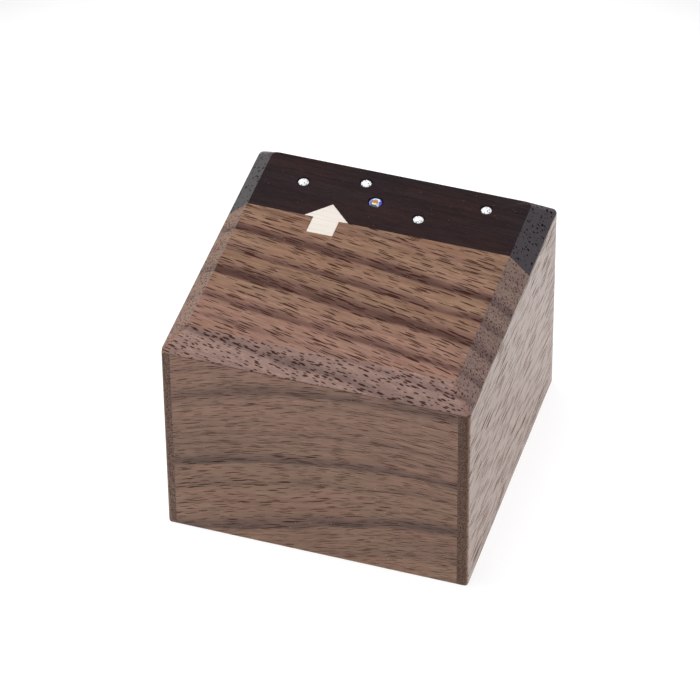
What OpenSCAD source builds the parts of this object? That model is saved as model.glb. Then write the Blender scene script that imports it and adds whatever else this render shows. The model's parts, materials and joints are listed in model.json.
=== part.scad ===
// Small walnut box with a sliding lid in two woods.
// A pale inner box carries thin walnut panels on all sides. The lid is walnut glued
// edge to edge to an ebony bar, chamfered on all four sides, with a let-in maple arrow
// and five cut stones. A runner board under its front end slides in two grooves.
// Millimetres. Origin at the middle of the underside, +X right along the front,
// +Y to the back, +Z up. The lid slides along +Y, the way the arrow points.

/* [Box] */
// Width over the side panels
box_w = 70; // [50:1:120]
// Depth over the front and back panels
box_d = 70; // [60:1:140]
// Height from the underside to the flat top of the lid
box_h = 57; // [40:1:100]
// Rounding of the upright corners of the case
corner_r = 0.9; // [0.3:0.1:1.6]
// Easing of the lower outside edges
foot_ease = 0.4; // [0.1:0.1:1.2]

/* [Outer panels] */
// Thickness of the left side panel, sanded thinner than its twin
left_panel_t = 2.1; // [1.7:0.1:4]
// Thickness of the right side panel
right_panel_t = 2.5; // [1.7:0.1:4]
// Thickness of the front and back panels
end_panel_t = 2.4; // [1.7:0.1:4]
// Thickness of the base panel
base_panel_t = 2.4; // [1.5:0.1:5]

/* [Inner box] */
// Thickness of the four liners
liner_t = 4; // [3.5:0.1:7]
// Depth of the rebates that the end liners sit in
rebate = 1.5; // [0.5:0.1:2]
// Thickness of the floor board
floor_t = 2; // [1.5:0.1:4]
// Height of the floor board above the base panel
floor_lift = 1.2; // [0.5:0.1:4]
// Depth of the groove that holds the floor board
floor_groove = 1.4; // [0.5:0.1:2]
// Expansion gap round the floor board in its groove
floor_gap = 0.1; // [0.02:0.01:0.3]

/* [Lid] */
// Thickness of the lid
lid_t = 5; // [4:0.1:8]
// Upright edge left below the chamfers
lid_edge = 0.4; // [0.2:0.1:1.5]
// Width of the chamfers, seen from above
bevel_w = 4.6; // [2:0.1:9]
// Rounding of the upright corners of the lid
lid_corner_r = 1.3; // [0.3:0.1:1.6]
// Running gap between the lid and the walls
lid_gap = 0.1; // [0.05:0.01:0.3]
// Depth of the ebony bar, from the back edge
ebony_d = 23.25; // [18:0.25:28]

/* [Arrow] */
// Distance of the arrow to the left of the middle
arrow_left = 12; // [8:0.5:13]
// Width of the arrow head across its barbs
head_w = 10.3; // [7:0.1:12]
// Height of the arrow head
head_h = 5.2; // [3:0.1:6]
// Width of the arrow shaft
shaft_w = 6; // [3:0.1:6.5]
// Length of the arrow shaft
shaft_l = 5.1; // [3:0.1:10]
// Thickness of the inlay
inlay_t = 1.5; // [0.5:0.1:2.5]
// Glue line round the inlay
inlay_gap = 0.02; // [0.01:0.01:0.1]

/* [Stones] */
// Diameter of the four clear stones
clear_d = 2.4; // [2:0.1:3.4]
// Height of the clear stones
clear_h = 1.2; // [0.8:0.1:1.6]
// Diameter of the aurora stone
aurora_d = 3; // [2.4:0.1:3.6]
// Height of the aurora stone
aurora_h = 1.4; // [0.9:0.1:1.8]
// Height of the crown, from girdle to table
crown_h = 0.5; // [0.3:0.05:0.6]
// Width of the flat table as a share of the stone
table_share = 0.5; // [0.4:0.05:0.7]
// How far the tables stand above the ebony
stone_rise = 0.3; // [0.1:0.05:0.5]
// Gap round each stone in its seat
seat_gap = 0.05; // [0.02:0.01:0.15]
// Countersink round the mouth of each seat
seat_rim = 0.25; // [0.05:0.05:0.3]

/* [Slide] */
// Length of the runner board along the slide
runner_l = 16; // [10:1:24]
// Thickness of the runner tongues
tongue_t = 3; // [2:0.1:5]
// Reach of each tongue into its groove
tongue_w = 2; // [1:0.1:2.4]
// Wood left above each groove
groove_lip = 3; // [2:0.1:6]
// Running gap round the tongues
slide_gap = 0.1; // [0.05:0.01:0.3]
// Gap between the runner board and the faces beside it
runner_gap = 0.3; // [0.1:0.05:0.6]

/* [Hidden] */

$fn = 64;
cut = 1; // overshoot of a cutting solid past the face that it opens
crown_facets = 8;

walnut = "#86695c";
walnut_end = "#6d5a50";
magnolia = "#cdbd97";
ebony = "#3a2f2f";
maple = "#f0e9dc";
clear_glass = "#e8edf0";
aurora_glass = "#8d93c8";

// heights
wall_h = box_h - lid_t - lid_gap;
lid_z = box_h - lid_t;
liner_h = wall_h - base_panel_t;
floor_z = base_panel_t + floor_lift;
groove_z = wall_h - groove_lip - tongue_t - 2 * slide_gap;
tongue_z = groove_z + slide_gap;

// the space between the outer panels
left_x = -box_w / 2 + left_panel_t;
right_x = box_w / 2 - right_panel_t;
end_y = box_d / 2 - end_panel_t;

// the space between the liners
left_in = left_x + liner_t;
right_in = right_x - liner_t;
end_in = end_y - liner_t;

// the lid, from its lower edge to its flat top
bevel_h = lid_t - lid_edge;
glue_y = box_d / 2 - ebony_d;

// each clear stone: to the right of the middle, and back from the glue line
clear_stones = [[-20.7, 10.7], [-7.1, 14.3], [7.6, 6], [21.2, 13.4]];
aurora_place = [-3.2, 8.7];

// ---- shared shapes ----

// a block between two opposite corners
module block(low, high) {
    translate(low) cube(high - low);
}

// a rectangle with true round corners
module round_plan(w, d, r) {
    square([w - 2 * r, d], center = true);
    square([w, d - 2 * r], center = true);
    for (sx = [-1, 1], sy = [-1, 1])
        translate([sx * (w / 2 - r), sy * (d / 2 - r)]) circle(r);
}

// the outside of the case, before it is divided into panels
module case_form() {
    linear_extrude(wall_h) round_plan(box_w, box_d, corner_r);
}

// a three-sided strip that eases a lower edge of length l, lying along X
module ease_strip(l) {
    rotate([90, 0, 90])
        linear_extrude(l, center = true)
            polygon([[-cut, -cut], [foot_ease + cut, -cut], [-cut, foot_ease + cut]]);
}

// the four strips round the foot of the case
module foot_easing() {
    for (turn = [0, 180])
        rotate(turn) translate([0, -box_d / 2, 0]) ease_strip(box_w + 2 * cut);
    for (turn = [90, 270])
        rotate(turn) translate([0, -box_w / 2, 0]) ease_strip(box_d + 2 * cut);
}

// one wall of the case: the part of its outside between two corners
module outer_panel(low, high) {
    difference() {
        intersection() {
            case_form();
            block(low, high);
        }
        foot_easing();
    }
}

// the lid's profile across a width w: upright edge, chamfer and flat top
module lid_profile(w) {
    polygon([
        [-w / 2, 0], [w / 2, 0], [w / 2, lid_edge],
        [w / 2 - bevel_w, lid_t], [bevel_w - w / 2, lid_t], [-w / 2, lid_edge]
    ]);
}

// the whole lid: two crossed profiles make the four chamfers and their hips
module lid_form() {
    translate([0, 0, lid_z])
        intersection() {
            rotate([90, 0, 0]) linear_extrude(box_d, center = true) lid_profile(box_w);
            rotate([90, 0, 90]) linear_extrude(box_w, center = true) lid_profile(box_d);
            linear_extrude(lid_t) round_plan(box_w, box_d, lid_corner_r);
        }
}

// the arrow head, tip to the back, its barbs on the glue line
module head_plan(gap) {
    slack = gap * head_w / head_h;
    translate([-arrow_left, glue_y])
        polygon([
            [-head_w / 2 - slack, 0], [head_w / 2 + slack, 0],
            [0, head_h + 2 * gap * head_h / head_w]
        ]);
}

// the arrow shaft, from the glue line to the front
module shaft_plan(gap) {
    translate([-arrow_left - shaft_w / 2 - gap, glue_y - shaft_l - gap])
        square([shaft_w + 2 * gap, shaft_l + gap]);
}

// a flat-backed cut stone standing on its back: the crown facets run from a
// many-sided girdle up to an eight-sided table
module cut_stone(d, h) {
    hull() {
        cylinder(d = d, h = h - crown_h, $fn = 2 * crown_facets);
        cylinder(d = d * table_share, h = h, $fn = crown_facets);
    }
}

// the drilled and countersunk seat of a stone, from the ebony down
module stone_seat(d, h) {
    depth = h - stone_rise;
    bore_d = d + 2 * seat_gap;
    translate([0, 0, -depth]) cylinder(d = bore_d, h = depth + cut);
    translate([0, 0, -seat_rim])
        cylinder(d1 = bore_d, d2 = bore_d + 2 * seat_rim, h = seat_rim);
}

// moves a stone, or its seat, to its place on the flat of the lid
module on_ebony(place, z = 0) {
    translate([place[0], glue_y + place[1], box_h + z]) children();
}

// a liner for one side, with its rebates, floor groove and runner groove
// inner is the X of its inside face, side is -1 on the left and 1 on the right
module side_liner(inner, side) {
    outer = inner + side * liner_t;
    difference() {
        block(
            [min(inner, outer), -end_y, base_panel_t],
            [max(inner, outer), end_y, wall_h]
        );
        for (end = [-1, 1])
            cheek_cut(inner, side, rebate, [end_in, end_y + cut] * end, [-cut, box_h]);
        cheek_cut(
            inner, side, floor_groove, [-end_in, end_in],
            [floor_z - floor_gap, floor_z + floor_t + floor_gap]
        );
        cheek_cut(
            inner, side, tongue_w + slide_gap, [-end_in, end_in],
            [groove_z, wall_h - groove_lip]
        );
    }
}

// a cut into the inside face of a side liner, over a stretch of Y and of Z
module cheek_cut(inner, side, depth, y, z) {
    deep = inner + side * depth;
    open = inner - side * cut;
    block([min(open, deep), min(y), z[0]], [max(open, deep), max(y), z[1]]);
}

// a liner for the front or the back, housed between the side liners
module end_liner(end) {
    y = [end * end_in, end * end_y];
    groove = [end * (end_in - cut), end * (end_in + floor_groove)];
    difference() {
        block(
            [left_in - rebate, min(y), base_panel_t],
            [right_in + rebate, max(y), wall_h]
        );
        block(
            [left_in - rebate - cut, min(groove), floor_z - floor_gap],
            [right_in + rebate + cut, max(groove), floor_z + floor_t + floor_gap]
        );
    }
}

// ---- case ----

module left_panel() {
    color(walnut)
        outer_panel([-box_w / 2 - cut, -box_d, -cut], [left_x, box_d, wall_h]);
}

module right_panel() {
    color(walnut)
        outer_panel([right_x, -box_d, -cut], [box_w / 2 + cut, box_d, wall_h]);
}

module front_panel() {
    color(walnut)
        outer_panel([left_x, -box_d, -cut], [right_x, -end_y, wall_h]);
}

module back_panel() {
    color(walnut)
        outer_panel([left_x, end_y, -cut], [right_x, box_d, wall_h]);
}

module base_panel() {
    color(walnut_end)
        block([left_x, -end_y, 0], [right_x, end_y, base_panel_t]);
}

module left_liner() {
    color(magnolia) side_liner(left_in, -1);
}

module right_liner() {
    color(magnolia) side_liner(right_in, 1);
}

module front_liner() {
    color(magnolia) end_liner(-1);
}

module back_liner() {
    color(magnolia) end_liner(1);
}

module floor_board() {
    reach = floor_groove - floor_gap;
    color(magnolia)
        block(
            [left_in - reach, -end_in - reach, floor_z],
            [right_in + reach, end_in + reach, floor_z + floor_t]
        );
}

// ---- lid ----

module lid_board() {
    color(walnut)
        difference() {
            intersection() {
                lid_form();
                block([-box_w, -box_d, 0], [box_w, glue_y, box_h]);
            }
            translate([0, 0, box_h - inlay_t])
                linear_extrude(inlay_t + cut) {
                    shaft_plan(inlay_gap);
                    translate([-arrow_left - shaft_w / 2 - inlay_gap, glue_y - shaft_l / 2])
                        square([shaft_w + 2 * inlay_gap, shaft_l / 2 + cut]);
                }
        }
}

module ebony_bar() {
    color(ebony)
        difference() {
            intersection() {
                lid_form();
                block([-box_w, glue_y, 0], [box_w, box_d, box_h]);
            }
            translate([0, 0, box_h - inlay_t])
                linear_extrude(inlay_t + cut) head_plan(inlay_gap);
            for (place = clear_stones) on_ebony(place) stone_seat(clear_d, clear_h);
            on_ebony(aurora_place) stone_seat(aurora_d, aurora_h);
        }
}

module arrow_head() {
    color(maple)
        translate([0, 0, box_h - inlay_t]) linear_extrude(inlay_t) head_plan(0);
}

module arrow_shaft() {
    color(maple)
        translate([0, 0, box_h - inlay_t]) linear_extrude(inlay_t) shaft_plan(0);
}

module clear_stone(i) {
    color(clear_glass)
        on_ebony(clear_stones[i - 1], stone_rise - clear_h) cut_stone(clear_d, clear_h);
}

module aurora_stone() {
    color(aurora_glass)
        on_ebony(aurora_place, stone_rise - aurora_h) cut_stone(aurora_d, aurora_h);
}

// the board under the front end of the lid, with a tongue at each side
module runner_board() {
    front = runner_gap - end_in;
    color(magnolia) {
        block(
            [left_in + runner_gap, front, tongue_z],
            [right_in - runner_gap, front + runner_l, lid_z]
        );
        block(
            [left_in - tongue_w, front, tongue_z],
            [right_in + tongue_w, front + runner_l, tongue_z + tongue_t]
        );
    }
}

left_panel();
right_panel();
front_panel();
back_panel();
base_panel();
left_liner();
right_liner();
front_liner();
back_liner();
floor_board();
lid_board();
ebony_bar();
arrow_head();
arrow_shaft();
runner_board();
clear_stone(1);  // clear_stone_1
clear_stone(2);  // clear_stone_2
clear_stone(3);  // clear_stone_3
clear_stone(4);  // clear_stone_4
aurora_stone();
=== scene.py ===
import json
import math
import bmesh
import bpy
from mathutils import Matrix, Vector

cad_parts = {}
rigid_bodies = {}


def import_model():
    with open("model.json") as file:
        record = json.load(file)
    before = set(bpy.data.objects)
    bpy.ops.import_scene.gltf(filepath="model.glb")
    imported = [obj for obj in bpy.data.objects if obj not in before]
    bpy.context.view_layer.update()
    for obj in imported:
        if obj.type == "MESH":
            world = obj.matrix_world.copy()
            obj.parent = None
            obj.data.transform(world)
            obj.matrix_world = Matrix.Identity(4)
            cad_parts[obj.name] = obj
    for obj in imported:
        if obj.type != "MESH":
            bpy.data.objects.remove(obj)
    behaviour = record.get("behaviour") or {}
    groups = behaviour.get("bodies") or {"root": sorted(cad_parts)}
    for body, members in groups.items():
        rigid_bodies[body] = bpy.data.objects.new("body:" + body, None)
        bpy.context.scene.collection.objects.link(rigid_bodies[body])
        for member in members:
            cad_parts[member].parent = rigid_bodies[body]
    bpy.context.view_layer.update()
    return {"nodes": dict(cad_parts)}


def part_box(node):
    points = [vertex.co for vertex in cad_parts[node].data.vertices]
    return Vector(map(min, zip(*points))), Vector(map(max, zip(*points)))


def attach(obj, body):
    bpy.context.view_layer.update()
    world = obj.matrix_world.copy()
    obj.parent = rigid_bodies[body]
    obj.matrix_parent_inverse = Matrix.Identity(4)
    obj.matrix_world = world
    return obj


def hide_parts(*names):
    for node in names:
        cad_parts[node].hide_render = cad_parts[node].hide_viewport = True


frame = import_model()
print("frame loaded,", len(frame["nodes"]), "nodes")

mm = 0.001
tiny = 0.01 * mm


# a wire is one node output that takes part in sums
class Wire:
    def __init__(self, shader, socket):
        self.shader = shader
        self.socket = socket

    def sum(self, operation, first, second):
        kind = "ShaderNodeVectorMath" if self.socket.type == "VECTOR" else "ShaderNodeMath"
        return self.shader.node(kind, {"operation": operation}, {0: first, 1: second})

    def __add__(self, other):
        return self.sum("ADD", self, other)

    def __radd__(self, other):
        return self.sum("ADD", other, self)

    def __sub__(self, other):
        return self.sum("SUBTRACT", self, other)

    def __rsub__(self, other):
        return self.sum("SUBTRACT", other, self)

    def __mul__(self, other):
        return self.sum("MULTIPLY", self, other)

    def __rmul__(self, other):
        return self.sum("MULTIPLY", other, self)

    def __truediv__(self, other):
        return self.sum("DIVIDE", self, other)

    def __abs__(self):
        return self.shader.node("ShaderNodeMath", {"operation": "ABSOLUTE"}, {0: self})

    def other(self, name):  # another output of the same node
        return Wire(self.shader, self.socket.node.outputs[name])


# one material or world, and the nodes that it needs
class Shader:
    def __init__(self, name, owners=bpy.data.materials):
        self.owner = owners.new(name)
        self.owner.use_nodes = True
        self.tree = self.owner.node_tree
        self.tree.nodes.clear()

    # any node: settings first, then the values or wires of its sockets
    def node(self, kind, settings=None, sockets=None, out=0):
        made = self.tree.nodes.new(kind)
        for key, value in (settings or {}).items():
            setattr(made, key, value)
        for key, value in (sockets or {}).items():
            socket = made.inputs[key]
            if isinstance(value, Wire):
                self.tree.links.new(value.socket, socket)
            elif socket.type in ("VECTOR", "RGBA") and not hasattr(value, "__len__"):
                socket.default_value = [value] * len(socket.default_value)
            else:
                socket.default_value = value
        return Wire(self, made.outputs[out]) if made.outputs else made

    def join(self, x, y, z):
        return self.node("ShaderNodeCombineXYZ", {}, {0: x, 1: y, 2: z})

    def parts(self, vector):
        split = self.node("ShaderNodeSeparateXYZ", {}, {0: vector})
        return [split.other(axis) for axis in "XYZ"]

    def noise(self, place, detail=2.0, roughness=0.5, out="Fac"):
        sockets = {"Scale": 1.0, "Detail": detail, "Roughness": roughness}
        if place.socket.type == "VECTOR":
            sockets["Vector"] = place
            return self.node("ShaderNodeTexNoise", {}, sockets, out)
        sockets["W"] = place
        return self.node("ShaderNodeTexNoise", {"noise_dimensions": "1D"}, sockets, out)

    def snap(self, vector):  # rounds, so that a flat facet gets one value
        return self.node("ShaderNodeVectorMath", {"operation": "SNAP"}, {0: vector, 1: 0.5})

    def step(self, value, low, high):  # 0 at low, 1 at high, smooth between
        sockets = {"Value": value, "From Min": low, "From Max": high}
        return self.node("ShaderNodeMapRange", {"interpolation_type": "SMOOTHSTEP"}, sockets)

    def hump(self, value, place, below, above):  # 1 at place, fading out on both sides
        over = self.node("ShaderNodeMath", {"operation": "MAXIMUM"}, {0: value - place, 1: 0.0})
        under = self.node("ShaderNodeMath", {"operation": "MINIMUM"}, {0: value - place, 1: 0.0})
        far = over / above + under / below
        return self.node("ShaderNodeMath", {"operation": "EXPONENT"}, {0: far * far * -1.0})

    def mix(self, factor, first, second, how="MIX"):
        settings = {"data_type": "RGBA", "blend_type": how}
        return self.node("ShaderNodeMix", settings, {0: factor, 6: first, 7: second}, 2)

    def bump(self, height, depth, strength):
        sockets = {"Height": height, "Distance": depth, "Strength": strength}
        return self.node("ShaderNodeBump", {}, sockets)

    def surface(self, sockets):
        return self.finish(self.node("ShaderNodeBsdfPrincipled", {}, sockets))

    def finish(self, shade, kind="ShaderNodeOutputMaterial"):
        self.node(kind, {}, {0: shade})
        return self.owner


def colour(text):  # "#rrggbb" as Blender's linear colour
    values = [int(text[i:i + 2], 16) / 255 for i in (1, 3, 5)]
    linear = [v / 12.92 if v < 0.04045 else ((v + 0.055) / 1.055) ** 2.4 for v in values]
    return (*linear, 1.0)


# what all the woods share; each noise has its reach along the grain and across it in
# millimetres, its detail and its roughness
figure = {
    "drift": (38.0, 13.0, 1.0, 0.5), "wave": (26.0, 8.0, 4.0, 0.6), "patch": (16.0, 5.0, 2.0, 0.5),
    "streak": (11.0, 1 / 1.3, 2.0, 0.6), "fibre": (6.0, 0.25, 2.0, 0.6), "seedsApart": 17.3,
}
bandShape = {"below": 0.6, "above": 1.7, "patchy": 1.6, "least": 0.2}
fades = {  # where each tone begins to show, and where it is full
    "mid": (0.35, 0.65), "warm": (0.35, 0.65), "tan": (0.42, 0.62), "fine": (0.5, 0.72),
    "halo": (0.05, 0.9), "dark": (0.2, 1.4), "paleSpeck": (0.075, 0.045), "crossCut": (0.35, 0.95),
    "endLight": (0.35, 0.65), "slantUp": (0.97, 0.85), "slantLeft": (-0.4, -0.1),
    "left": (-0.4, -0.6), "sideways": (0.2, 0.5),
}
tubes = {  # two sets of pores, each shifted and spaced by its own share
    "sets": ((0.0, 1.0), (41.0, 0.77)), "inFine": 0.9, "inDark": 0.25, "everywhere": 0.6,
    "phases": 90.0, "closing": 0.22, "smallest": 0.6, "spread": 0.6, "dent": 0.06 * mm,
}


# solid wood: the figure is worked out through the whole block, so that a
# long face shows dashes, a chamfer short ones and an end dots
def woodMaterial(name, look):
    s = Shader(name)
    coords = s.node("ShaderNodeTexCoord", out="Object")
    xyz = s.parts(coords * 1000.0)  # millimetres
    along, side, deep = (xyz[axis] for axis in look["axes"])
    start = look["seed"] * figure["seedsApart"]

    def figured(kind, acrossSide, acrossDeep, out="Fac"):
        far, wide, detail, roughness = figure[kind]
        place = s.join(along / far + start, acrossSide / wide, acrossDeep / wide)
        return s.noise(place, detail, roughness, out)

    # the grain may bend: levels of this sum are the lines that fibres and bands follow
    level = side
    bend = look.get("bend")
    if bend:
        off = along - bend["top"]
        level = side + off * off * bend["curve"]
        steeper = s.step(level, bend["from"], bend["to"])
        level = level + s.node("ShaderNodeMath", {"operation": "MINIMUM"}, {
            0: (bend["end"] - along) * bend["slope"], 1: bend["most"]}) * steeper

    # fibres lean, fan out and wander
    driftSide, driftDeep, driftTone = s.parts(figured("drift", side, deep, "Color"))
    lean, fan, wander = look["lean"], look["fan"], look["wander"]
    fibreSide = level + along * (side * fan + lean[0]) + (driftSide - 0.5) * wander
    fibreDeep = deep + along * lean[1] + (driftDeep - 0.5) * wander

    # growth bands: a few chosen dark ones, and irregular fine ones between them
    wave = figured("wave", side, deep)
    ring = level + along * look["trace"] + (wave - 0.5) * look["wave"]
    ring = ring + (deep - look["face"]) * look["ringLean"]
    patch = figured("patch", side, deep)
    dark = 0.0
    for place, width, depth in look["bands"]:  # sharp below, soft above
        below, above = width * bandShape["below"], width * bandShape["above"]
        dark = s.hump(ring, place, below, above) * depth + dark
    dark = dark * (patch * bandShape["patchy"] + bandShape["least"])
    broad = s.noise(ring * look["broad"] + start, 2.0, 0.5)
    fine = s.noise(ring * look["fineBands"] + start, 3.0, 0.65)
    fibre = figured("fibre", fibreSide, fibreDeep)

    tone = s.mix(s.step(broad, *fades["mid"]), colour(look["light"]), colour(look["mid"]))
    tone = s.mix(s.step(driftTone, *fades["warm"]) * look["blush"], tone, colour(look["warm"]))
    tone = s.mix(s.step(patch, *fades["tan"]) * look["blush"], tone, colour(look["tan"]))
    pinker = look.get("pinker")
    if pinker:
        tone = s.mix(s.step(side, *pinker["between"]) * pinker["depth"], tone, colour(pinker["tint"]))
    tone = s.mix(s.step(fine, *fades["fine"]) * look["fineDepth"], tone, colour(look["dark"]))
    tone = s.mix(s.step(dark, *fades["halo"]) * look["haloDepth"], tone, colour(look["halo"]))
    tone = s.mix(s.step(dark, *fades["dark"]), tone, colour(look["dark"]))
    streak = figured("streak", fibreSide, fibreDeep)
    shade = (fibre - 0.5) * look["fibreDepth"] + (streak - 0.5) * look["streakDepth"] + 1.0
    tone = s.mix(1.0, tone, s.join(shade, shade, shade), "MULTIPLY")

    # pores: tubes that follow the fibres, each opening and closing by itself
    openness = fine * tubes["inFine"] + dark * tubes["inDark"] + tubes["everywhere"]
    openness = openness * look["poreSize"]
    height = fibre * look["fibreRelief"]
    poreMask = 0.0
    for shift, share in tubes["sets"]:
        gap = look["poreGap"] * share
        cell = s.join(fibreSide / gap + shift, fibreDeep / gap + shift, 0.0)
        pore = s.node("ShaderNodeTexVoronoi", {"voronoi_dimensions": "2D"}, {
            "Vector": cell, "Scale": 1.0, "Randomness": look["poreScatter"]}, "Distance")
        luck, phase, size = s.parts(pore.other("Color"))
        uneven = s.noise(along / look["poreLength"] + phase * tubes["phases"], 1.0, 0.5)
        opened = s.step(uneven, look["poreOpen"], look["poreOpen"] + tubes["closing"])
        opened = opened * s.step(luck, look["poreMissing"] - 0.01, look["poreMissing"])
        radius = openness * (size * tubes["spread"] + tubes["smallest"]) * opened
        poreMask = s.step(radius - pore, 0.0, look["poreSoft"]) + poreMask
    poreMask = s.node("ShaderNodeClamp", {}, {0: poreMask})

    # small pale specks in the finish
    paleSpeck = s.node("ShaderNodeTexVoronoi", {}, {
        "Vector": s.join(along / look["paleSpeckGap"], side / look["paleSpeckGap"], deep / look["paleSpeckGap"]),
        "Scale": 1.0}, "Distance")
    tone = s.mix(s.step(paleSpeck, *fades["paleSpeck"]) * look["paleSpeckDepth"], tone, colour(look["paleSpeck"]))

    # cross-cut faces are darker; slanted faces not turned left take a bluish painted sheen, and faces
    # turned left a painted shade
    facing = abs(s.parts(coords.other("Normal"))[look["axes"][0]])
    crossCut = s.step(facing, *fades["crossCut"])
    endTone = s.mix(
        s.step(fibre, *fades["endLight"]), colour(look["end"]), colour(look["endLight"]))
    tone = s.mix(crossCut * look["endDepth"], tone, endTone)

    normalX, normalY, normalZ = s.parts(coords.other("Normal"))
    sheenMask = s.step(normalZ, *fades["slantUp"]) * s.step(normalX, *fades["slantLeft"])
    tone = s.mix(sheenMask, tone, look["sheenTint"], "MULTIPLY")
    # painted shade on faces turned left
    tone = s.mix(s.step(normalX, *fades["left"]), tone, look["leftShadeTint"], "MULTIPLY")

    wood = s.node("ShaderNodeBsdfPrincipled", {}, {
        "Base Color": tone,
        "Roughness": (fibre - 0.5) * look["roughVary"] + crossCut * look["endRough"] + look["roughness"],
        "IOR": look["ior"],
        "Normal": s.bump(height - poreMask, tubes["dent"], look["relief"]),
    })
    sideways = s.step(abs(normalX), *fades["sideways"])  # these faces cut the pores another way
    poreTone = s.mix(sideways, colour(look["pore"]), colour(look["poreSlant"]))
    hollow = s.node("ShaderNodeBsdfPrincipled", {}, {
        "Base Color": poreTone, "Roughness": 1.0, "Specular IOR Level": 0.0})
    return s.finish(s.node(
        "ShaderNodeMixShader", {}, {0: poreMask * look["poreDepth"], 1: wood, 2: hollow}))


# lengths are millimetres; axes are along the grain, across it and into the piece; each
# band is its place, width and depth; depths are how far a tone goes over the one below
walnut = {
    "axes": (0, 1, 2), "seed": 1, "lean": (0.0, 0.03), "fan": 0.0, "wander": 1.2,
    "trace": 0.0, "face": 0.0, "ringLean": 0.5, "wave": 5.0, "bands": (), "broad": 0.16,
    "fineBands": 0.8, "fineDepth": 0.35, "blush": 0.5, "fibreDepth": 0.65, "streakDepth": 0.75,
    "light": "#826453", "mid": "#745749", "warm": "#7c5a49", "tan": "#7f6450",
    "dark": "#4b342a", "halo": "#65493e", "haloDepth": 0.6,
    "end": "#33221a", "endLight": "#574033", "endDepth": 0.95,
    "sheenTint": (1.0, 1.0, 1.0, 1.0), "leftShadeTint": (1.0, 1.0, 1.0, 1.0),
    "pore": "#371d13", "poreSlant": "#371d13", "poreDepth": 0.8, "poreSize": 0.22,
    "poreGap": 0.5, "poreLength": 3.0, "poreMissing": 0.25, "poreOpen": 0.36,
    "poreSoft": 0.05, "poreScatter": 0.85,
    "paleSpeck": "#b9a898", "paleSpeckGap": 1.5, "paleSpeckDepth": 0.6,
    "fibreRelief": 0.25, "relief": 0.5, "roughness": 0.22, "roughVary": 0.12, "endRough": 0.2,
    "ior": 1.43,
}

frontWalnut = {
    **walnut, "axes": (0, 2, 1), "seed": 3, "lean": (0.0, 0.04), "wander": 0.5,
    "ringLean": 0.2, "face": -35.0,
    "bend": {
        "top": 22.0, "curve": 0.0038, "from": 34.0, "to": 8.0, "end": 33.0, "slope": 0.17,
        "most": 6.5,
    },
    "bands": (
        (50.4, 1.7, 0.7), (38.2, 0.9, 0.5), (30.3, 1.2, 0.95), (25.6, 0.5, 0.15), (16.3, 1.5, 0.95),
        (8.0, 1.0, 0.3),
    ),
    "wave": 3.0, "poreSize": 0.16, "poreGap": 0.4, "poreLength": 14.0, "poreOpen": 0.2,
    "poreMissing": 0.04, "poreDepth": 0.97, "light": "#82624e", "mid": "#735645", "warm": "#7c5945",
    "tan": "#80644e", "pinker": {"between": (20.0, 44.0), "depth": 0.5, "tint": "#93705d"},
}

backWalnut = {
    **frontWalnut, "seed": 8,
    "bands": ((44.0, 1.6, 0.7), (33.0, 1.4, 0.6), (21.0, 1.6, 0.8), (10.0, 1.3, 0.6)),
}

# the side panels' walnut is painted lighter than the front's: a painted highlight standing in for the
# bright sheen on the right side
lightenedSideWalnut = {
    **walnut, "axes": (1, 2, 0), "seed": 5, "lean": (0.02, 0.045), "wander": 0.15,
    "wave": 3.0, "face": 35.0,
    "bands": ((3.0, 2.2, 0.6), (9.5, 0.8, 0.35), (31.0, 1.5, 0.2)), "broad": 0.22,
    "roughVary": 0.02, "blush": 0.3, "fibreRelief": 0.05, "relief": 0.05, "streakDepth": 0.25,
    "fibreDepth": 0.35, "poreSize": 0.2, "poreGap": 0.78, "poreLength": 12.0, "poreOpen": 0.24,
    "poreMissing": 0.05, "poreSlant": "#5e3f24", "pore": "#4a3527", "poreDepth": 0.95,
    "light": "#997b69", "mid": "#8c6d5a", "warm": "#92705c", "dark": "#6c4a39",
    "halo": "#85614c", "tan": "#967964", "ior": 1.37,
}

baseWalnut = {**walnut, "seed": 9, "bands": ((-18.0, 2.0, 0.6), (4.0, 1.6, 0.7), (21.0, 2.2, 0.6))}

lidWalnut = {
    **walnut, "seed": 2, "lean": (0.17, -0.085), "fan": -0.0035, "wander": 1.0,
    "trace": 0.12, "face": 57.0, "ringLean": 0.32, "wave": 3.4,
    "bands": (
        (9.6, 1.1, 0.5), (0.0, 1.5, 1.1), (-7.0, 1.2, 0.85), (-14.6, 1.9, 1.05),
        (-23.2, 1.1, 0.85), (-29.4, 0.9, 0.6), (-34.5, 1.3, 0.5),
    ),
    "broad": 0.22, "fineBands": 1.0, "fineDepth": 0.35,
    "light": "#92725e", "mid": "#80624f", "warm": "#876551", "dark": "#4a332a",
    # the chamfers' bluish tint is a painted sheen, the left faces' darker tint a painted shade
    "sheenTint": (1.01, 1.12, 1.24, 1.0), "leftShadeTint": (0.93, 0.88, 0.78, 1.0),
    "pinker": {"between": (-8.0, -27.0), "depth": 0.4, "tint": "#9a756c"},
    "halo": "#70524b", "haloDepth": 0.75, "tan": "#8e735c",
    "end": "#5f4337", "endLight": "#755949", "endDepth": 0.6,
    "pore": "#371c13", "poreDepth": 0.9, "poreSize": 0.225, "poreGap": 0.78, "poreMissing": 0.12,
    "poreOpen": 0.3, "poreLength": 12.0, "poreSlant": "#4c3228", "relief": 0.6,
}

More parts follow.
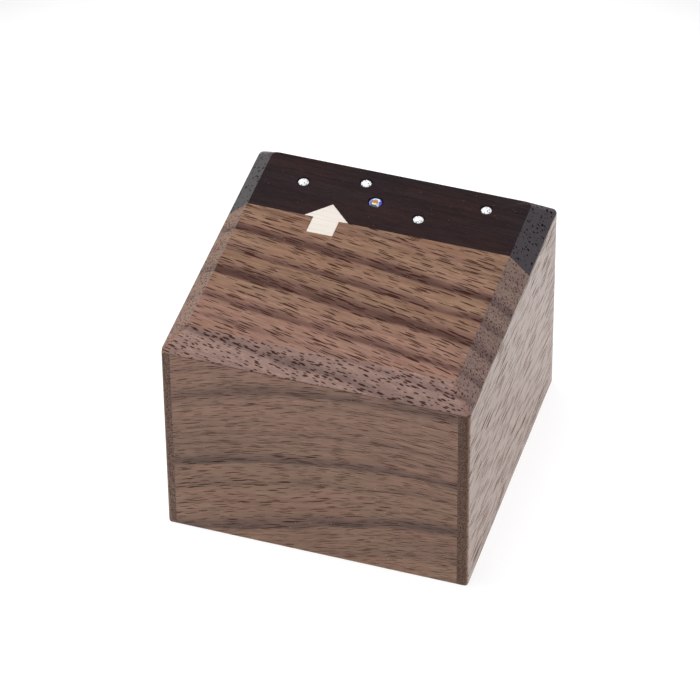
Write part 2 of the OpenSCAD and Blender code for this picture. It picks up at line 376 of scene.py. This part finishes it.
ebonyLook = {
    **walnut, "seed": 4, "lean": (0.12, -0.15), "wander": 0.8, "trace": 0.06, "ringLean": 0.3,
    "wave": 3.0, "broad": 0.25, "fineBands": 1.3, "fineDepth": 0.6, "blush": 0.6,
    "fibreDepth": 0.5, "streakDepth": 0.8, "light": "#2a2122", "mid": "#231b1c", "warm": "#341e1a",
    "dark": "#14100e", "halo": "#1c1517", "tan": "#231819",
    "end": "#1c1719", "endLight": "#211b1e", "endDepth": 0.6, "paleSpeckDepth": 0.25,
    # the chamfers' bluish tint is a painted reflection
    "sheenTint": (1.12, 1.16, 1.42, 1.0), "pore": "#2d2326", "poreSlant": "#0b0909",
    "poreDepth": 1.0, "poreSize": 0.235, "poreGap": 1.1, "poreMissing": 0.35,
    "poreLength": 12.0, "relief": 0.15, "roughness": 0.2,
}

mapleLook = {
    **walnut, "seed": 6, "lean": (0.0, 0.02), "trace": 0.05, "wave": 1.0, "broad": 0.5,
    "fineBands": 1.6, "fineDepth": 0.5, "blush": 0.4, "fibreDepth": 0.1,
    "streakDepth": 0.1, "light": "#e1dbd2", "mid": "#dfd7cc", "warm": "#e1d8cd", "dark": "#d0c5b5",
    "halo": "#d8cebf", "tan": "#e2dccf",
    "end": "#bdb09c", "endLight": "#c9beae", "endDepth": 0.4, "paleSpeckDepth": 0.0,
    "pore": "#ae9f86", "poreDepth": 0.5, "poreSize": 0.05,
    "fibreRelief": 0.1, "relief": 0.3, "roughness": 0.42,
}

paleLook = {
    **mapleLook, "seed": 7, "broad": 0.2, "fineBands": 0.9, "fibreDepth": 0.16,
    "light": "#d4c6a3", "mid": "#cabb95", "warm": "#d2c19b", "tan": "#d0c29c",
    "dark": "#a99a74", "halo": "#b8a982", "end": "#a8976f", "endLight": "#b3a27b",
    "endDepth": 0.6, "pore": "#9b8a64", "roughness": 0.55, "relief": 0.35,
}

seatShadeLook = {  # painted shade in the seats: rough, matt and near black
    **ebonyLook, "light": "#0f0a0a", "mid": "#0c0808", "warm": "#120909", "tan": "#0d0909",
    "dark": "#080606", "halo": "#0a0808", "end": "#0b0909", "endLight": "#0e0b0b",
    "roughness": 0.7, "ior": 1.2,
}


mosaic = {  # how the painted reflections, back facets seen through a crown, are laid and blended
    "sectors": 16, "layers": 2.4, "byFacing": 3.0, "bySector": 1.7, "byLayer": 2.3,
    "flashEdge": 0.12, "scatter": 0.3, "tableEdge": 0.08,
}


# cut stones, with painted light: bright and dark facets, white tints and a faint glow stand in for light
# off the foil; the facets' own "gemPlace" map runs -1 to 1 across each stone
def gemMaterial(name, look):
    s = Shader(name)
    place = s.node("ShaderNodeUVMap", {"uv_map": "gemPlace"})
    x, y, z = s.parts(place)
    radius = s.node("ShaderNodeVectorMath", {"operation": "LENGTH"}, {0: place}, "Value")
    turn = s.node("ShaderNodeMath", {"operation": "ARCTAN2"}, {0: y, 1: x})
    turn = turn * (mosaic["sectors"] / math.tau)
    facing = s.node("ShaderNodeTexCoord", out="Normal")
    sector = s.node("ShaderNodeMath", {"operation": "FLOOR"}, {0: turn})
    layer = s.node("ShaderNodeMath", {"operation": "FLOOR"}, {0: radius * mosaic["layers"]})
    # each cell is a painted reflection, a back facet seen through the crown, bright or dark by chance
    cell = facing * mosaic["byFacing"] + s.join(
        sector * mosaic["bySector"] + look["seed"], layer * mosaic["byLayer"], 0.0)
    chance = s.node("ShaderNodeTexWhiteNoise", {}, {"Vector": s.snap(cell)}, "Value")
    darkest = look["darkShare"] - mosaic["flashEdge"]
    flash = s.step(chance, look["darkShare"] + mosaic["flashEdge"], darkest)
    tint = colour(look["low"])
    for low, high, axis, hue in look["zones"]:
        across = {"x": x, "y": y}[axis] + (chance - 0.5) * mosaic["scatter"]
        tint = s.mix(s.step(across, low, high), tint, colour(hue))
    disc = s.node("ShaderNodeVectorMath", {"operation": "LENGTH"}, {
        0: s.join(x, y + look["discShift"], 0.0)}, "Value")
    inTable = s.step(disc, look["disc"] + mosaic["tableEdge"], look["disc"])
    tint = s.mix(inTable, tint, colour(look["table"]))
    tint = s.mix(flash * look["darkDepth"], tint, colour(look["shadow"]))
    return s.surface({
        "Base Color": tint, "Metallic": look["metal"], "Roughness": 0.18, "IOR": 1.6,
        "Coat Weight": look["shine"], "Coat Roughness": 0.02, "Coat IOR": 1.6,
        # a faint glow in the facets' own tint: painted light
        "Emission Color": s.mix(look["paintedGlow"], colour("#000000"), tint), "Emission Strength": 1.0,
    })


foilLook = {
    "specks": 7000.0, "bright": "#f4f6f8", "dim": "#d9dee2", "roughness": 0.1, "roughVary": 0.1,
}


def silverFoil(name, look):
    s = Shader(name)
    speck = s.noise(s.node("ShaderNodeTexCoord", out="Object") * look["specks"], 2.0)
    tint = s.mix(speck, colour(look["bright"]), colour(look["dim"]))
    return s.surface({
        "Base Color": tint, "Metallic": 1.0,
        "Roughness": speck * look["roughVary"] + look["roughness"],
    })


clearLook = {
    "seed": 1.0, "darkShare": 0.22, "darkDepth": 0.9, "shadow": "#30363c", "low": "#edf0f2",
    "zones": ((0.2, 0.6, "y", "#ffffff"),), "disc": 0.5, "discShift": 0.0, "table": "#fbfaf6",
    "metal": 0.0, "shine": 1.0, "paintedGlow": 0.25,
}

auroraLook = {
    "seed": 3.0, "darkShare": 0.08, "darkDepth": 0.5, "shadow": "#101838", "low": "#2a6470",
    "zones": (
        (-0.05, 0.2, "y", "#dcf2fc"), (-0.45, -0.7, "x", "#8a80dc"), (0.3, 0.4, "x", "#f2f4ff"),
        (0.52, 0.62, "x", "#4763e2"), (0.8, 0.9, "x", "#6a2c90"),
    ),
    "disc": 0.43, "discShift": 0.26, "table": "#c08c4e", "metal": 0.25, "shine": 0.25, "paintedGlow": 0.08,
}

paint = {
    "left_panel": woodMaterial("walnutLeftLightened", {
        **lightenedSideWalnut, "seed": 11, "end": "#3c2a20", "endLight": "#775b4b"}),
    "right_panel": woodMaterial("walnutRightLightened", {
        **lightenedSideWalnut, "end": "#2f1d12", "endLight": "#694b38"}),
    "front_panel": woodMaterial("walnutFront", frontWalnut),
    "back_panel": woodMaterial("walnutBack", backWalnut),
    "base_panel": woodMaterial("walnutBase", baseWalnut),
    "lid_board": woodMaterial("walnutLid", lidWalnut),
    "ebony_bar": woodMaterial("ebony", ebonyLook),
    "maple": woodMaterial("maple", mapleLook),
    "paleAlongX": woodMaterial("magnoliaWide", paleLook),
    "paleUpright": woodMaterial("magnoliaEnds", {**paleLook, "axes": (0, 2, 1), "seed": 12}),
    "paleAlongY": woodMaterial("magnoliaSides", {**paleLook, "axes": (1, 2, 0), "seed": 13}),
    "clear": gemMaterial("clearStone", clearLook),
    "foil": silverFoil("silverFoil", foilLook),
    "aurora": gemMaterial("auroraStone", auroraLook),
    "seat": woodMaterial("ebonySeatShade", seatShadeLook),
}
print("materials mixed:", len(paint))


def blockMesh(low, high):
    bm = bmesh.new()
    bmesh.ops.create_cube(bm, size=1.0)
    bmesh.ops.scale(bm, vec=high - low, verts=bm.verts)
    bmesh.ops.translate(bm, vec=(low + high) / 2, verts=bm.verts)
    return bm


def roundEdges(bm, edges, width, segments):
    bmesh.ops.bevel(
        bm, geom=edges, offset=width, offset_type="OFFSET", affect="EDGES", segments=segments,
        profile=0.5, material=-1, clamp_overlap=True,
    )


def edgesWhere(bm, test):  # edges whose two ends both pass
    return [e for e in bm.edges if all(test(v.co) for v in e.verts)]


def cutAway(bm, point, normal):  # removes what lies on the normal's side, and closes the cut
    everything = bm.verts[:] + bm.edges[:] + bm.faces[:]
    cut = bmesh.ops.bisect_plane(
        bm, geom=everything, dist=1e-7, plane_co=point, plane_no=normal, clear_outer=True)
    rim = [g for g in cut["geom_cut"] if isinstance(g, bmesh.types.BMEdge)]
    if rim:
        bmesh.ops.edgeloop_fill(bm, edges=rim)


def near(a, b):
    return abs(a - b) < tiny


broadFace = 20 * mm * mm


# makes the bmesh an object that stands for CAD nodes and rides on their body
def addPiece(name, bm, body, nodes, materials, sharpAngle=32):
    bmesh.ops.recalc_face_normals(bm, faces=bm.faces)
    for e in bm.edges:
        e.smooth = e.is_manifold and e.calc_face_angle(0) < math.radians(sharpAngle)
    for f in bm.faces:  # broad faces stay flat, roundings are smooth
        f.smooth = f.calc_area() < broadFace
    mesh = bpy.data.meshes.new(name)
    bm.to_mesh(mesh)
    bm.free()
    for material in materials:
        mesh.materials.append(material)
    piece = bpy.data.objects.new(name, mesh)
    bpy.context.scene.collection.objects.link(piece)
    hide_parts(*nodes)
    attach(piece, body)
    return piece


# carves cutters out of a bmesh with Blender's exact boolean, and hands back a new bmesh
def carve(bm, cutters):
    scene = bpy.context.scene.collection.objects
    blocks = []
    for each in [bm, *cutters]:
        bmesh.ops.recalc_face_normals(each, faces=each.faces)
        mesh = bpy.data.meshes.new("carveTemp")
        each.to_mesh(mesh)
        each.free()
        blocks.append(bpy.data.objects.new("carveTemp", mesh))
        scene.link(blocks[-1])
    base = blocks[0]
    for cutter in blocks[1:]:
        modifier = base.modifiers.new("carve", "BOOLEAN")
        modifier.operation = "DIFFERENCE"
        modifier.solver = "EXACT"
        modifier.object = cutter
    evaluated = base.evaluated_get(bpy.context.evaluated_depsgraph_get())
    result = bmesh.new()
    result.from_mesh(evaluated.to_mesh())
    bmesh.ops.remove_doubles(result, verts=result.verts, dist=tiny / 10)
    for block in blocks:
        mesh = block.data
        bpy.data.objects.remove(block)
        bpy.data.meshes.remove(mesh)
    return result


# the case: thin walnut panels with soft corners
case = {
    "cornerRound": 0.9 * mm, "cornerSteps": 6, "footRound": 0.4 * mm, "footSteps": 3,
    "topEase": 0.12 * mm, "topSteps": 2,
}


def rims(low, high):  # height, width and steps of the roundings at a panel's foot and top
    return (
        (low.z, case["footRound"], case["footSteps"]), (high.z, case["topEase"], case["topSteps"]))


def sidePanel(node, outward):
    low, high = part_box(node)
    bm = blockMesh(low, high)
    outerX = high.x if outward > 0 else low.x
    innerX = low.x if outward > 0 else high.x
    roundEdges(bm, [
        e for e in edgesWhere(bm, lambda p: near(p.x, outerX))
        if near(e.verts[0].co.y, e.verts[1].co.y)
    ], case["cornerRound"], case["cornerSteps"])
    for z, width, segments in rims(low, high):
        rim = edgesWhere(bm, lambda p: near(p.z, z))
        joint = edgesWhere(bm, lambda p: near(p.x, innerX))
        roundEdges(bm, [e for e in rim if e not in joint], width, segments)
    return addPiece(node + "_eased", bm, "case", [node], [paint[node]])


def endPanel(node, outward):
    low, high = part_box(node)
    bm = blockMesh(low, high)
    outerY = high.y if outward > 0 else low.y
    for z, width, segments in rims(low, high):
        roundEdges(bm, edgesWhere(bm, lambda p: near(p.z, z) and near(p.y, outerY)), width, segments)
    return addPiece(node + "_eased", bm, "case", [node], [paint[node]])


sidePanel("left_panel", -1)
sidePanel("right_panel", 1)
endPanel("front_panel", -1)
endPanel("back_panel", 1)

for node, finish in {
    "base_panel": "base_panel", "floor_board": "paleAlongX", "front_liner": "paleUpright",
    "back_liner": "paleUpright", "left_liner": "paleAlongY", "right_liner": "paleAlongY",
    "runner_board": "paleAlongX",
}.items():
    frame["nodes"][node].data.materials.clear()
    frame["nodes"][node].data.materials.append(paint[finish])
print("case panels and inner box dressed")


# the lid: one chamfered form, cut at the glue line, so both woods run on flush
lid = {
    "edge": 0.4 * mm, "cornerRound": 1.3 * mm, "cornerSteps": 5, "hipRound": 1.2 * mm,
    "hipSteps": 5, "arris": 0.2 * mm, "footEase": 0.08 * mm, "easeSteps": 2, "sharpFrom": 25,
    "glueLine": 0.02 * mm, "pocketDepth": 1.5 * mm, "pocketPast": 1 * mm,
}
boardLow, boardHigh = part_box("lid_board")
barLow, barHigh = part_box("ebony_bar")
glueY = barLow.y


def lidForm():
    bm = blockMesh(boardLow, barHigh)
    chamfer = barHigh.z - boardLow.z - lid["edge"]
    roundEdges(bm, edgesWhere(bm, lambda p: near(p.z, barHigh.z)), chamfer, 1)
    hips = [e for e in bm.edges if abs(e.verts[0].co.z - e.verts[1].co.z) > chamfer / 2]
    roundEdges(bm, hips, lid["hipRound"], lid["hipSteps"])
    radius, steps = lid["cornerRound"], lid["cornerSteps"]
    for sx in (-1, 1):
        for sy in (-1, 1):
            corner = Vector((sx * (barHigh.x - radius), sy * (barHigh.y - radius), 0))
            for step in range(steps):
                turn = math.radians(90) * (step + 0.5) / steps
                normal = Vector((sx * math.cos(turn), sy * math.sin(turn), 0))
                cutAway(bm, corner + normal * radius, normal)
    for width, test in ((lid["arris"], lambda p: p.z > boardLow.z + tiny),
                        (lid["footEase"], lambda p: near(p.z, boardLow.z))):
        sharpFrom = math.radians(lid["sharpFrom"])
        sharp = [e for e in edgesWhere(bm, test) if e.calc_face_angle(0) > sharpFrom]
        roundEdges(bm, sharp, width, lid["easeSteps"])
    bmesh.ops.remove_doubles(bm, verts=bm.verts, dist=tiny)
    bmesh.ops.dissolve_degenerate(bm, edges=bm.edges, dist=tiny / 10)
    return bm


def plate(points, top, depth):  # a flat outline, sunk from top by depth
    bm = bmesh.new()
    face = bm.faces.new([bm.verts.new((x, y, top)) for x, y in points])
    grown = bmesh.ops.extrude_face_region(bm, geom=[face])["geom"]
    bmesh.ops.translate(
        bm, vec=(0, 0, -depth), verts=[g for g in grown if isinstance(g, bmesh.types.BMVert)])
    return bm


headLow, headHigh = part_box("arrow_head")
shaftLow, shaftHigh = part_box("arrow_shaft")
lidTop = barHigh.z


def headOutline(gap, overlap=0.0):
    middle = (headLow.x + headHigh.x) / 2
    slope = (headHigh.x - headLow.x) / 2 / (headHigh.y - headLow.y)
    half = (headHigh.x - headLow.x) / 2 + (gap + overlap) * slope + gap
    tip = headHigh.y + 2 * gap
    return [(middle - half, headLow.y - overlap), (middle + half, headLow.y - overlap), (middle, tip)]


def shaftOutline(gap, overlap=0.0):
    left, right = shaftLow.x - gap, shaftHigh.x + gap
    front, back = shaftLow.y - gap, shaftHigh.y + overlap
    return [(left, front), (right, front), (right, back), (left, back)]


stones = {
    "clear_stone_1": "clear", "clear_stone_2": "clear", "clear_stone_3": "clear",
    "clear_stone_4": "clear", "aurora_stone": "aurora",
}
seat = {"gap": 0.05 * mm, "rim": 0.25 * mm, "overshoot": 0.5 * mm, "sides": 40}


def seatCutter(node):  # a lathe-turned drill: bore and countersink in one
    low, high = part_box(node)
    middle = (low + high) / 2
    bore = (high.x - low.x) / 2 + seat["gap"]
    mouth = bore + seat["rim"]
    bm = bmesh.new()
    line = [
        (0, low.z), (bore, low.z), (bore, lidTop - seat["rim"]), (mouth, lidTop),
        (mouth, lidTop + seat["overshoot"]), (0, lidTop + seat["overshoot"]),
    ]
    points = [bm.verts.new((x, 0, z)) for x, z in line]
    edges = [bm.edges.new(pair) for pair in zip(points, points[1:])]
    bmesh.ops.spin(
        bm, geom=points + edges, cent=(0, 0, 0), axis=(0, 0, 1), angle=math.tau,
        steps=seat["sides"], use_merge=True,
    )
    bmesh.ops.remove_doubles(bm, verts=bm.verts, dist=tiny / 10)
    bmesh.ops.translate(bm, vec=(middle.x, middle.y, 0), verts=bm.verts)
    return bm


def inSeat(point):  # below the top, and closer to a stone than its countersink's rim
    for node in stones:
        low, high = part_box(node)
        reach = (high.x - low.x) / 2 + seat["gap"] + seat["rim"]
        if point.z < lidTop - tiny and (point - (low + high) / 2).xy.length < reach:
            return True
    return False


above = seat["overshoot"]
walnutHalf = lidForm()
cutAway(walnutHalf, Vector((0, glueY, 0)), Vector((0, 1, 0)))
pocket = plate(
    shaftOutline(lid["glueLine"], lid["pocketPast"]), lidTop + above, lid["pocketDepth"] + above)
board = addPiece(
    "lid_board_eased", carve(walnutHalf, [pocket]), "lid", ["lid_board"],
    [paint["lid_board"]])

ebonyHalf = lidForm()
cutAway(ebonyHalf, Vector((0, glueY, 0)), Vector((0, -1, 0)))
pocket = plate(
    headOutline(lid["glueLine"], lid["pocketPast"]), lidTop + above, lid["pocketDepth"] + above)
barShape = carve(ebonyHalf, [pocket] + [seatCutter(n) for n in stones])
# the seats' faces take the near-black painted shade
for face in barShape.faces:
    if inSeat(face.calc_center_median()):
        face.material_index = 1
bar = addPiece(
    "ebony_bar_eased", barShape, "lid", ["ebony_bar"], [paint["ebony_bar"], paint["seat"]])
print("lid shaped:", len(board.data.polygons), "and", len(bar.data.polygons), "faces")

inlay = {"ease": 0.05 * mm}
for node, outline in (("arrow_head", headOutline(0.0)), ("arrow_shaft", shaftOutline(0.0))):
    bm = plate(outline, lidTop, lid["pocketDepth"])
    roundEdges(bm, edgesWhere(bm, lambda p: near(p.z, lidTop)), inlay["ease"], 1)
    addPiece(node + "_eased", bm, "lid", [node], [paint["maple"]])


# the stones: rings of points under a convex hull make the facets
cut = {
    "sides": 8, "table": 0.52, "starRing": 0.78, "starRise": 0.62, "crown": 0.5 * mm,
    "girdle": 0.08 * mm, "culet": 0.06, "firstTurn": 11, "nextTurn": 29,
}


def ring(bm, radius, z, sides, turn=0.0):
    made = bmesh.ops.create_circle(bm, segments=sides, radius=radius, cap_ends=False)["verts"]
    bmesh.ops.rotate(bm, verts=made, cent=(0, 0, 0), matrix=Matrix.Rotation(turn, 3, "Z"))
    bmesh.ops.translate(bm, vec=(0, 0, z), verts=made)
    return made


def cutStone(node, kind, turn):
    low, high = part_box(node)
    radius, tall = (high.x - low.x) / 2, high.z - low.z
    sides = cut["sides"]
    half = math.pi / sides
    girdleTop = tall - cut["crown"]
    bm = bmesh.new()
    ring(bm, radius * cut["table"], tall, sides)
    ring(bm, radius * cut["starRing"], girdleTop + cut["crown"] * cut["starRise"], sides, half)
    ring(bm, radius, girdleTop, 2 * sides)
    ring(bm, radius, girdleTop - cut["girdle"], 2 * sides)
    ring(bm, radius * cut["culet"], 0.0, sides)
    hull = bmesh.ops.convex_hull(bm, input=bm.verts)
    loose = [g for g in hull["geom_interior"] if isinstance(g, bmesh.types.BMVert)]
    bmesh.ops.delete(bm, geom=loose, context="VERTS")
    bmesh.ops.dissolve_limit(bm, angle_limit=math.radians(0.5), verts=bm.verts, edges=bm.edges)
    for f in bm.faces:
        f.material_index = 1 if f.calc_center_median().z < girdleTop - cut["girdle"] else 0
    bmesh.ops.rotate(bm, verts=bm.verts, cent=(0, 0, 0), matrix=Matrix.Rotation(turn, 3, "Z"))
    place = bm.loops.layers.uv.new("gemPlace")
    for f in bm.faces:
        for corner in f.loops:
            corner[place].uv = corner.vert.co.xy / radius
    middle = (low + high) / 2
    bmesh.ops.translate(bm, vec=(middle.x, middle.y, low.z), verts=bm.verts)
    return addPiece(
        node + "_cut", bm, "lid", [node], [paint[kind], paint["foil"]], 1)


for number, (node, kind) in enumerate(stones.items()):
    cutStone(node, kind, math.radians(cut["firstTurn"] + cut["nextTurn"] * number))
print("stones cut:", len(stones))


# the floor is a light table: it glows round the middle, less in front and not under the box, where a
# painted contact shadow fades in under its rounded foot
floorLook = {
    "half": 4.0, "tint": "#969696", "glow": 0.87, "glowFar": 0.05, "glowReach": (0.13, 0.27),
    "frontDim": 0.1, "frontFade": (-0.02, -0.05), "foot": 34.1 * mm, "contactShade": 0.4 * mm,
}


def addFloor():
    bm = bmesh.new()
    bmesh.ops.create_grid(bm, x_segments=1, y_segments=1, size=floorLook["half"])
    mesh = bpy.data.meshes.new("studioFloor")
    bm.to_mesh(mesh)
    bm.free()
    s = Shader("paleFloor")
    place = s.node("ShaderNodeTexCoord", out="Object")
    x, y, z = s.parts(place)
    full, gone = floorLook["glowReach"]
    reach = s.node("ShaderNodeVectorMath", {"operation": "LENGTH"}, {0: place}, "Value")
    rest = floorLook["glowFar"]
    glow = s.step(reach, gone, full) * (floorLook["glow"] - rest) + rest
    widest = s.node("ShaderNodeMath", {"operation": "MAXIMUM"}, {0: abs(x), 1: abs(y)})
    # painted contact shadow: no glow under the box, fading in under its rounded foot
    glow = glow * s.step(widest, floorLook["foot"], floorLook["foot"] + floorLook["contactShade"])
    glow = glow * (1.0 - s.step(y, *floorLook["frontFade"]) * floorLook["frontDim"])
    mesh.materials.append(s.surface({
        "Base Color": colour(floorLook["tint"]), "Roughness": 0.8, "Specular IOR Level": 0.0,
        "Emission Color": s.join(glow, glow, glow), "Emission Strength": 1.0,
    }))
    floor = bpy.data.objects.new("studioFloor", mesh)
    bpy.context.scene.collection.objects.link(floor)


# bright near the horizon and dim above, a little brighter to the right and the back
sky = {
    "tint": "#fcf7ff", "horizon": 1.03, "zenith": 0.12, "rise": (0.3, 0.65), "sideways": 0.1,
}


def addWorld():
    s = Shader("studioSky", bpy.data.worlds)
    x, y, z = s.parts(s.node("ShaderNodeTexCoord", out="Generated"))
    low, high = sky["rise"]
    height = s.step(z, high, low) * (sky["horizon"] - sky["zenith"]) + sky["zenith"]
    strength = height * ((x + y) * sky["sideways"] + 1.0)
    back = s.node("ShaderNodeBackground", {}, {"Color": colour(sky["tint"]), "Strength": strength})
    bpy.context.scene.world = s.finish(back, "ShaderNodeOutputWorld")


softboxes = {
    "keySoftbox": {"place": (-0.3, 0.05, 0.9), "size": 0.7, "power": 8.3},
    "fillSoftbox": {"place": (-0.29, -0.9, 0.9), "size": 0.8, "power": 1.6},
}
lampAim = Vector((0, 0, 0.03))


def addLamp(name, look):
    lamp = bpy.data.lights.new(name, "AREA")
    lamp.shape = "SQUARE"
    lamp.size = look["size"]
    lamp.energy = look["power"]
    holder = bpy.data.objects.new(name, lamp)
    holder.location = look["place"]
    holder.rotation_euler = (lampAim - Vector(look["place"])).to_track_quat("-Z", "Y").to_euler()
    bpy.context.scene.collection.objects.link(holder)


camera = {
    "azimuth": 17.837, "elevation": 43.016, "roll": 0.587, "distance": 1070.5 * mm,
    "aim": Vector((-2.955, 0.0, 30.185)) * mm, "lens": 245.94, "sensor": 36.0,
}


def addCamera():
    turn, rise = math.radians(camera["azimuth"]), math.radians(camera["elevation"])
    away = Vector((
        math.sin(turn) * math.cos(rise), -math.cos(turn) * math.cos(rise), math.sin(rise)))
    data = bpy.data.cameras.new("studioCamera")
    data.lens = camera["lens"]
    data.sensor_width = camera["sensor"]
    holder = bpy.data.objects.new("studioCamera", data)
    look = (-away).to_track_quat("-Z", "Y").to_matrix()
    roll = Matrix.Rotation(-math.radians(camera["roll"]), 3, "Z")
    holder.matrix_world = Matrix.Translation(
        camera["aim"] + away * camera["distance"]) @ (look @ roll).to_4x4()
    bpy.context.scene.collection.objects.link(holder)
    bpy.context.scene.camera = holder


addFloor()
addWorld()
for name, look in softboxes.items():
    addLamp(name, look)
addCamera()
bpy.context.scene.view_settings.view_transform = "Standard"
print("studio set")
